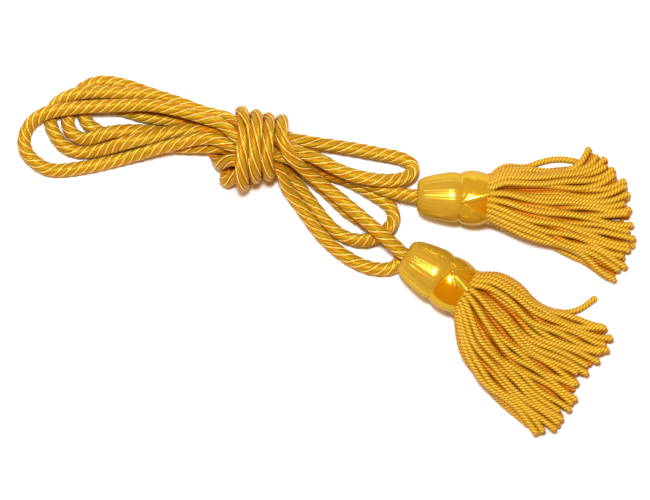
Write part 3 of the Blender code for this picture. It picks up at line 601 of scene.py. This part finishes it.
def satin_material(name, light, dark, rough, bump_depth, fibre, spread, metal, gloss, tint, sheen=0.0,
                   yarns=0.0, lay=0.0, ior=1.5, coat=0.0, yarn_shade=0.7, piping_highlight=None, shade=None, facet_shade=None,
                   ply_shade=None, hollow_shade=None):
    """Satin yarn: fine fibres drawn along the thread, ridged in yarns, with a slow drift of colour.

    yarns is their width across the thread (0 for woven satin), yarn_shade the painted shade in the valleys
    between them, lay the slope at which they cross it, fibre the width of one fibre streak, spread the size
    of the colour drift. The further colours paint light and shade: piping_highlight, a painted highlight on
    the thread in each groove; shade, painted shade towards a groove; facet_shade, painted shade on facets
    turned away; ply_shade, painted shade in the grooves of a twisted strand; hollow_shade, painted shade
    deep between strands."""
    material = bpy.data.materials.new(name)
    material.use_nodes = True
    tree = material.node_tree
    calc, mix, link = partial(math_node, tree), partial(mix_colour, tree), tree.links.new
    tree.nodes.clear()
    out = node(tree, "ShaderNodeOutputMaterial")
    bsdf = node(tree, "ShaderNodeBsdfPrincipled")
    link(bsdf.outputs[0], out.inputs[0])
    uv = node(tree, "ShaderNodeUVMap", uv_map="thread")
    split = node(tree, "ShaderNodeSeparateXYZ")
    link(uv.outputs[0], split.inputs[0])
    u, v = split.outputs[0], split.outputs[1]
    across = calc("ADD", u, calc("MULTIPLY", v, lay))
    # fibres: noise drawn out along the thread
    stretch = node(tree, "ShaderNodeCombineXYZ")
    link(calc("MULTIPLY", across, 1.0 / fibre), stretch.inputs[0])
    link(calc("MULTIPLY", v, FIBRE_DRAWN / fibre), stretch.inputs[1])
    fibres = node(tree, "ShaderNodeTexNoise", in_Scale=1.0, in_Detail=2.0, in_Roughness=0.6)
    link(stretch.outputs[0], fibres.inputs["Vector"])
    height = calc("MULTIPLY", fibres.outputs[0], FIBRE_RELIEF)
    if yarns:
        wave = calc("SINE", calc("MULTIPLY", across, math.pi / yarns))
        wave = calc("POWER", calc("ABSOLUTE", wave), 0.6)
        height = calc("ADD", height, wave)
    bump = node(tree, "ShaderNodeBump", in_Strength=1.0, in_Distance=bump_depth * MM)
    link(height, bump.inputs["Height"])
    link(bump.outputs[0], bsdf.inputs["Normal"])
    # colour: lighter and darker fibres, and a slow drift over the piece
    place = node(tree, "ShaderNodeTexCoord")
    drift = node(tree, "ShaderNodeTexNoise", in_Scale=1000.0 / spread, in_Detail=2.0)
    link(place.outputs["Object"], drift.inputs["Vector"])
    tone = calc("ADD", calc("MULTIPLY", fibres.outputs[0], 0.75), calc("MULTIPLY", drift.outputs[0], 0.5))
    tone = calc("SUBTRACT", tone, 0.12, clamp=True)
    if yarns:
        # painted shade: the colour darkens in the valleys between yarns
        yarn_valley_shade = calc("ADD", calc("MULTIPLY", wave, yarn_shade), 1.1 - yarn_shade)
        tone = calc("MULTIPLY", tone, yarn_valley_shade)
    colour = mix(tone, dark, light)
    if piping_highlight:
        # painted shade: each strand darkens towards the grooves beside it, most on one side
        round_strand = calc("MULTIPLY", u, 1.0 / CORD_STRAND_R)
        facing = calc("COSINE", calc("SUBTRACT", round_strand, PAINTED_LIT_SIDE))
        groove = calc("MULTIPLY", calc("SUBTRACT", 0.97, facing), 1.5, clamp=True)
        colour = mix(groove, colour, shade)
        # painted highlight: the thread in each groove takes a lighter colour
        colour = mix(calc("GREATER_THAN", u, PIPING_FROM), colour, piping_highlight)
    if ply_shade:
        # painted shade: each ply darkens towards the groove beside it
        between = calc("SUBTRACT", u, PLY_GIRTH * 3 / 4)
        between = calc("MULTIPLY", between, 2 * math.pi / PLY_GIRTH)
        between = calc("ADD", calc("COSINE", between), 0.1, clamp=True)
        colour = mix(between, colour, ply_shade)
    # painted shade: facets turned away are coloured darker and more orange
    if facet_shade:
        turned_away = None
        for number in (1, 2):
            for shape in FACETS[number]:
                mask = facet_shade_mask(tree, u, calc("SUBTRACT", v, BAND_2_V * (number - 1)), shape)
                if turned_away is not None:
                    mask = calc("MAXIMUM", turned_away, mask)
                turned_away = mask
        colour = mix(turned_away, colour, facet_shade)
    if hollow_shade:
        # painted shade: darker and redder where a surface lies deep below what stands beside it
        deep = node(tree, "ShaderNodeAttribute", attribute_name="hollow_shade")
        colour = mix(deep.outputs["Fac"], colour, hollow_shade)
    link(colour, bsdf.inputs["Base Color"])
    for socket, value in (
            ("Roughness", rough), ("Metallic", metal), ("IOR", ior), ("Specular IOR Level", gloss),
            ("Specular Tint", tint), ("Sheen Weight", sheen), ("Sheen Roughness", 0.35),
            ("Sheen Tint", (1.0, 0.86, 0.45, 1.0)), ("Coat Weight", coat), ("Coat Roughness", 0.14)):
        bsdf.inputs[socket].default_value = value
    return material


MATERIALS = {
    "cord": satin_material(
        "cord_satin", light=(0.61, 0.46, 0.020, 1), dark=(0.31, 0.17, 0.004, 1), rough=0.30, sheen=0.03,
        yarns=CORD_YARN, bump_depth=0.26, lay=0.25, fibre=0.16, spread=30.0, metal=0.28, gloss=0.6,
        tint=(0.9, 0.72, 0.24, 1.0), ior=1.3, yarn_shade=0.95, piping_highlight=(0.93, 0.70, 0.17, 1),
        shade=(0.48, 0.18, 0.0, 1), hollow_shade=(0.56, 0.22, 0.005, 1)),
    "satin": satin_material(
        "head_satin", light=(0.70, 0.52, 0.06, 1), dark=(0.48, 0.32, 0.02, 1), rough=0.20, yarns=1.3,
        bump_depth=0.045, fibre=0.30, spread=25.0, metal=0.50, gloss=0.0, tint=(0.55, 0.40, 0.10, 1.0),
        coat=0.16, yarn_shade=0.28),
    "ribbon": satin_material(
        "ribbon_satin", light=(0.70, 0.49, 0.036, 1), dark=(0.48, 0.30, 0.01, 1), rough=0.20,
        bump_depth=0.05, lay=0.3, fibre=0.30, spread=25.0, metal=0.50, gloss=0.0,
        tint=(0.55, 0.40, 0.10, 1.0), coat=0.28, facet_shade=(0.60, 0.27, 0.0, 1)),
    "fringe": satin_material(
        "fringe_satin", light=(0.66, 0.52, 0.044, 1), dark=(0.46, 0.31, 0.012, 1), rough=0.42, sheen=0.03,
        bump_depth=0.06, fibre=0.12, spread=30.0, metal=0.18, gloss=0.7, tint=(1.0, 0.93, 0.65, 1.0),
        ior=1.35, ply_shade=(0.48, 0.16, 0.0, 1), hollow_shade=(0.50, 0.155, 0.0, 1)),
}

# ---- the cord ----
CORD_RING_STEP = 1.35
CORD_STRANDS = 4
CORD_AROUND, PIPING_AROUND = 9, 5       # vertices round a strand, and round the piping
FLATTER, WIDER = 0.97, 1.05             # a strand's section, pressed by its neighbours
CORD_HOLLOW_SHADE = (1.6, 3.0)                # start and span of the painted shade in hollows


def cord_strands(line):
    """Four strands laid round the cord's line with a thin thread in each groove, each a closed tube."""
    line = evenly(line, step=CORD_RING_STEP)
    slim, lay = line[:, 3], lay_angle(line[:, 4], CORD_RING_STEP)
    line = line[:, :3]
    n, b = sweep_frames(line)
    run = length_along(line)
    knots = np.arange(0, run[-1] + 60, 30.0)
    rng = np.random.default_rng(11)
    parts = [], [], [], []
    for k in range(2 * CORD_STRANDS):
        # the last four tubes are the threads in the grooves, painted lighter as a highlight
        piping_highlight = k >= CORD_STRANDS
        around, radius, far = ((PIPING_AROUND, PIPING_R, PIPING_OUT) if piping_highlight
                               else (CORD_AROUND, CORD_STRAND_R, CORD_STRAND_OUT))
        phi = 2 * math.pi * np.arange(around) / around
        wobble = np.interp(run, knots, rng.normal(0, 0.05, len(knots)))
        a = lay + (k + 0.5 * piping_highlight) * 2 * math.pi / CORD_STRANDS + wobble
        out = np.cos(a)[:, None] * n + np.sin(a)[:, None] * b
        centre = line + far * slim[:, None] * out
        tangent = normalised(np.gradient(centre, axis=0))
        radial = normalised(out - tangent * (out * tangent).sum(1, keepdims=True))
        other = np.cross(tangent, radial)
        size = radius * slim * (1 + 0.02 * np.sin(run / 7.0 + 2 * k))
        ring = (centre[:, None] + size[:, None, None] * (
            FLATTER * np.cos(phi)[None, :, None] * radial[:, None]
            + WIDER * np.sin(phi)[None, :, None] * other[:, None]))
        stretch = np.linalg.norm(np.diff(centre, axis=0), axis=1).mean()
        add_tube(parts, ring, 2 * math.pi * radius, stretch, (PIPING_U * piping_highlight, k * 37.0))
    return joined(parts)


route = cord_line()
rope = make_piece("rope_strands", *cord_strands(route), slot="cord")
route = route[:, :3]
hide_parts("rope")
paint_hollow_shade([rope], *CORD_HOLLOW_SHADE)

# ---- the heads ----
HEAD_AROUND = 160
PLEATS = 32
PLEAT_WIDTH, PLEAT_LEAST = 0.42, 0.10   # narrows the pleats, and their depth far from the hole
DOME_PROFILE = ((0.0, 7.4), (0.5, 8.6), (1.8, 9.9), (4, 11.1), (8.5, 12.5), (14, 13.7), (20, 14.6),
                (23.5, 14.3), (DOME_LEN, 13.3))
HOLE_LIP = ((3.2, SOCKET_R - 0.5), (1.2, SOCKET_R - 0.3), (0.2, SOCKET_R - 0.1), (-0.05, SOCKET_R + 0.4),
            (-0.1, 5.3), (-0.08, 6.2), (0.0, 6.9))


def spline_through(table, where):
    """Radii at the places in where, on a smooth line through the table's (place, radius)."""
    line = smooth(np.array([(s, r, 0.0) for s, r in table], float), per=12)
    return np.interp(where, line[:, 0], line[:, 1])


def turned_piece(name, tassel, rows, around, radius, slot, closed=False, floor=None):
    """A surface turned round a tassel's axis, from rows of (place along it, base radius).

    radius(s, base, angles) gives a row's radii with the relief; closed joins the last row to the first."""
    origin, along, side, up = tassel_frame(tassel)
    a = 2 * math.pi * np.arange(around) / around
    verts = []
    for s, base in rows:
        r = radius(s, base, a)
        verts.append(origin + s * along + (r * np.cos(a))[:, None] * side + (r * np.sin(a))[:, None] * up)
    verts = np.array(verts)
    if floor is not None:
        verts[..., 2] = np.maximum(verts[..., 2], floor)
    rings = len(rows)
    quads = tube_grid(rings, around, 0)[:, ::-1]
    girth = np.arange(around + 1) * GIRTH / around
    run = np.array([s for s, _ in rows]) + (BAND_2_V if tassel is TASSEL_2 else 0.0)
    thread = grid_thread(girth, run)[:, ::-1]
    caps = []
    if closed:
        last = (rings - 1) * around
        k = np.arange(around)
        m = (k + 1) % around
        quads = np.concatenate([quads, np.stack([last + k, last + m, m, k], -1)[:, ::-1]])
        thread = np.concatenate([thread, grid_thread(girth, run[[-1, -1]])[:, ::-1]])
    else:
        caps = [np.arange(around), (rings - 1) * around + np.arange(around)[::-1]]
    return make_piece(name, verts.reshape(-1, 3), quads, caps, thread, slot)


def build_head(number, tassel):
    """Satin gathered over the dome: pleats of uneven depth, width and reach run out from the cord's hole."""
    rng = np.random.default_rng(20 + number)
    where = (np.arange(PLEATS) + rng.uniform(-0.28, 0.28, PLEATS)) * 2 * math.pi / PLEATS
    deep = rng.uniform(0.45, 1.0, PLEATS)
    wide = rng.uniform(0.55, 0.95, PLEATS) * math.pi / PLEATS
    reach = rng.uniform(3.0, 11.0, PLEATS)

    def relief(s, base, a):
        if base <= SOCKET_R + 1.0:
            return np.full_like(a, base)
        d = (a[:, None] - where[None] + math.pi) % (2 * math.pi) - math.pi
        valley = np.exp(-(d / (PLEAT_WIDTH * wide[None])) ** 2)
        depth = deep * (0.62 * np.exp(-max(s, 0.0) / reach) + PLEAT_LEAST)
        r = base - (valley * depth[None]).sum(1)
        return r + (0.07 * np.sin(3 * a + 0.6 * number) + 0.05 * np.sin(5 * a + s / 7.0))

    s_rows = np.concatenate([np.linspace(0.15, 2.0, 9), np.linspace(2.5, 10, 16),
                             np.linspace(10.8, DOME_LEN, 20)])
    rows = [*HOLE_LIP, *zip(s_rows, tassel[3] * spline_through(DOME_PROFILE, s_rows))]
    rows += [(DOME_LEN + 0.4, 12.9), (DOME_LEN + 1.0, 12.6), (NECK_END, NECK_R)]
    head = turned_piece("head_cover_%d" % number, tassel, rows, HEAD_AROUND, relief, "satin")
    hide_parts("head_%d" % number)


# ---- the bands ----
BAND_AROUND, BAND_ROWS = 240, 44
BAND_EDGE_R, BAND_SWELL = 14.2, 1.7     # radius at the ribbon's edges, and how much fuller it is between
FACET_EDGE = 5.0                        # degrees over which a facet's side slopes
FOLD_TAPER = 0.8                        # over which a fold dies away past its ends


def band_base(t):
    """The ribbon's radius, from 0 at its edge by the head to 1 at the fringe."""
    return BAND_EDGE_R + BAND_SWELL * np.sin(math.pi * np.minimum(1.0, 0.12 + 0.94 * t)) ** 0.8


def build_band(number, tassel):
    """Crossed ribbon round the fringe's heading, a closed ring with its facets and folds twice round."""
    def relief(s, base, a):
        t = (s - BAND_START) / (BAND_END - BAND_START)
        deg = np.degrees(a)
        r = np.full_like(a, base)
        if base < BAND_IN + 0.4:
            return r
        for half in (0, 180):
            for s0, a0, opens, shuts, depth in FACETS[number]:
                f = np.clip((s - s0) / (BAND_END - s0), 0, 1)
                lo, hi = a0 + (opens - a0) * f + half, a0 + (shuts - a0) * f + half
                mid, wide = (lo + hi) / 2, max((hi - lo) / 2, 0.5)
                d = (deg - mid + 180) % 360 - 180
                inside = np.clip((wide - np.abs(d)) / FACET_EDGE, 0, 1)
                r -= depth * inside * inside * (3 - 2 * inside) * min(1.0, 2.5 * f)
            for s0, a0, s1, a1, crest, high, wide in FOLDS[number]:
                f = (s - s0) / (s1 - s0)
                near = np.clip(f, 0, 1)
                centre = a0 + (a1 - a0) * near + half
                d = ((deg - centre + 180) % 360 - 180) * math.pi / 180 * base
                past = abs(s - (s0 + near * (s1 - s0)))
                slope = abs(math.radians(a1 - a0) * base / (s1 - s0))
                d = d / math.sqrt(1 + slope * slope)
                # the fold that stands out falls off steeply on its near side
                grow = wide * (0.6 + 0.9 * near)
                spread = np.where(d > 0, 0.3 * wide, grow) if crest else wide
                r += ((max(crest - base, 0) + high) * np.exp(-(d / spread) ** 2)
                      * math.exp(-(past / FOLD_TAPER) ** 2))
        return r + 0.12 * np.sin(4 * a + 1.3 * number + 2.2 * t) * math.sin(math.pi * min(max(t, 0), 1))

    rows = [(BAND_START + 0.6, BAND_IN), (BAND_START - 0.8, BAND_IN + 0.1),
            (BAND_START - 1.6, 13.5 * tassel[3]), (BAND_START - 1.2, 13.9 * tassel[3])]
    for t in np.linspace(0.0, 1.0, BAND_ROWS):
        rows.append((BAND_START + t * (BAND_END - BAND_START), float(band_base(t))))
    rows += [(BAND_END + 0.15, 13.9), (BAND_END - 0.3, BAND_IN)]
    band = turned_piece("band_ribbon_%d" % number, tassel, rows, BAND_AROUND, relief, "ribbon", closed=True,
                        floor=FLOOR_GAP)
    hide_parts("band_%d" % number)


# ---- the fringe ----
PLY_PITCH = 6.3             # one turn of a strand's plies
FRINGE_RINGS_A_TURN = 13
FRINGE_OUT, FRINGE_IN = 1.95, 1.15  # over the plies, and in the groove between them
FRINGE_ANGLES = np.radians([120 * ply + turn for ply in range(PLIES) for turn in (-37, 0, 37, 60)])
TAIL = 2.4                  # of a strand, back through the header into the band
TIP_ROUND = 1.3             # length of its rounded end
SWELL, SWELL_AT, SWELL_LEN = 0.07, 2.2, 1.2     # how the strand thickens just before its end
WAVER = 1.1                 # how far a strand wavers from side to side
WAVER_RAMP = 40.0           # length over which the waver grows
FRINGE_HOLLOW_SHADE = (0.9, 2.0)  # start and span of the painted shade in hollows
STRAY_END = ((583, 164.2, 2.2), (590, 168.5, 3.2))      # plan points and heights past the end of STRAY_1


def fringe_mesh(lines, number, tassel, calm):
    """Three-ply strands along the (index, line) pairs, each a closed tube with a rounded end.

    The strand whose index is calm doesn't waver."""
    along = tassel_frame(tassel)[1]
    rng = np.random.default_rng(40 + number)
    parts = [], [], [], []
    section = np.tile([0.93 * FRINGE_OUT, FRINGE_OUT, 0.93 * FRINGE_OUT, FRINGE_IN], PLIES)
    step = PLY_PITCH / FRINGE_RINGS_A_TURN
    for index, line in lines:
        line = soften(np.vstack([line[:1] - TAIL * along, line]), per=5)
        total = np.linalg.norm(np.diff(line, axis=0), axis=1).sum()
        rings = int(round(total / step)) + 1
        line = evenly(line, count=rings)
        run = np.arange(rings) * total / (rings - 1)
        # the strand wavers from side to side, more towards its end
        aside = normalised(np.cross(np.gradient(line, axis=0), (0.0, 0.0, 1.0)))
        wave = np.sin(run / rng.uniform(5.5, 9.0) + rng.uniform(0, 2 * math.pi))
        sway = 0.0 if index == calm else WAVER
        line = line + (sway * np.clip(run / WAVER_RAMP - 0.15, 0, 1) * wave)[:, None] * aside
        n, b = sweep_frames(line)
        a = -2 * math.pi * run / PLY_PITCH + rng.uniform(0, 2 * math.pi)
        left = total - run
        size = np.sqrt(1 - np.clip(1 - left / TIP_ROUND, 0, 0.96) ** 2)
        size = size * (1 + SWELL * np.exp(-((left - SWELL_AT) / SWELL_LEN) ** 2))
        spin = a[:, None] + FRINGE_ANGLES[None, :]
        ring = line[:, None] + (section[None, :] * size[:, None])[..., None] * (
            np.cos(spin)[..., None] * n[:, None] + np.sin(spin)[..., None] * b[:, None])
        add_tube(parts, ring, PLIES * PLY_GIRTH, step, (index * PLIES * PLY_GIRTH, index * 17.0))
    return joined(parts)


def build_fringe(number, tassel, skirt):
    """A skirt's strands in two pieces, those that lie higher and those that lie lower."""
    lines, loose = strand_lines(tassel, *skirt)
    lines = list(lines)
    if number == 1:         # its loose strand runs back in among the others
        lines[loose] = np.vstack([lines[loose], [at(*p) for p in STRAY_END]])
    order = sorted(range(len(lines)), key=lambda i: -lines[i][:, 2].mean())
    half = len(order) // 2
    made = []
    for part, members in (("upper", order[:half]), ("lower", order[half:])):
        mesh = fringe_mesh([(i, lines[i]) for i in members], number, tassel, loose)
        piece = make_piece("fringe_%s_%d" % (part, number), *mesh, slot="fringe")
        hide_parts("skirt_%d" % number)
        made.append(piece)
    paint_hollow_shade(made, *FRINGE_HOLLOW_SHADE)


for number, tassel, skirt in ((1, TASSEL_1, (FAR_1, NEAR_1, ENDS_1, STRAY_1)),
                              (2, TASSEL_2, (FAR_2, NEAR_2, ENDS_2, STRAY_2))):
    build_head(number, tassel)
    build_band(number, tassel)
    build_fringe(number, tassel, skirt)


# ---- floor and light ----
def plain_material(name, colour, rough):
    """A matt surface of one colour."""
    material = bpy.data.materials.new(name)
    material.use_nodes = True
    bsdf = material.node_tree.nodes["Principled BSDF"]
    bsdf.inputs["Base Color"].default_value = colour
    bsdf.inputs["Roughness"].default_value = rough
    bsdf.inputs["Specular IOR Level"].default_value = 0.1
    return material


HALF_FLOOR = 6.0    # metres
floor_mesh = bpy.data.meshes.new("floor")
corners = [(x * HALF_FLOOR, y * HALF_FLOOR, 0) for x, y in ((-1, -1), (1, -1), (1, 1), (-1, 1))]
floor_mesh.from_pydata(corners, [], [(0, 1, 2, 3)])
floor = bpy.data.objects.new("floor", floor_mesh)
floor_mesh.materials.append(plain_material("floor_paper", (0.82, 0.88, 0.93, 1), 0.9))
scene.collection.objects.link(floor)


def area_light(name, tilt, turn, distance, wide, high, power, colour, across=0.0):
    """An area light seen from the object at tilt degrees off the zenith, turned from +Y towards +X.

    distance, wide, high and across, its shift along X, are in metres; power is in watts."""
    data = bpy.data.lights.new(name, "AREA")
    data.shape = "RECTANGLE" if wide != high else "DISK"
    data.size = wide
    if wide != high:
        data.size_y = high
    data.energy = power
    data.color = colour
    light = bpy.data.objects.new(name, data)
    t, a = math.radians(tilt), math.radians(turn)
    back = np.array((math.sin(t) * math.sin(a), math.sin(t) * math.cos(a), math.cos(t)))
    light.location = back * distance + np.array((across, 0, 0))
    light.rotation_mode = "QUATERNION"
    light.rotation_quaternion = Vector(back).to_track_quat("Z", "Y")
    scene.collection.objects.link(light)


area_light("key", tilt=11, turn=-6, distance=1.6, wide=0.22, high=0.22, power=26, colour=(1.0, 0.99, 0.97))
area_light("strip", tilt=12, turn=0, distance=1.6, wide=1.5, high=0.05, power=8, colour=(1.0, 0.96, 0.92),
           across=-0.45)
world = bpy.data.worlds.new("studio")
world.use_nodes = True
background = world.node_tree.nodes["Background"]
background.inputs["Color"].default_value = (1.0, 0.43, 0.11, 1)
background.inputs["Strength"].default_value = 0.55
scene.world = world
scene.view_settings.view_transform = "Standard"
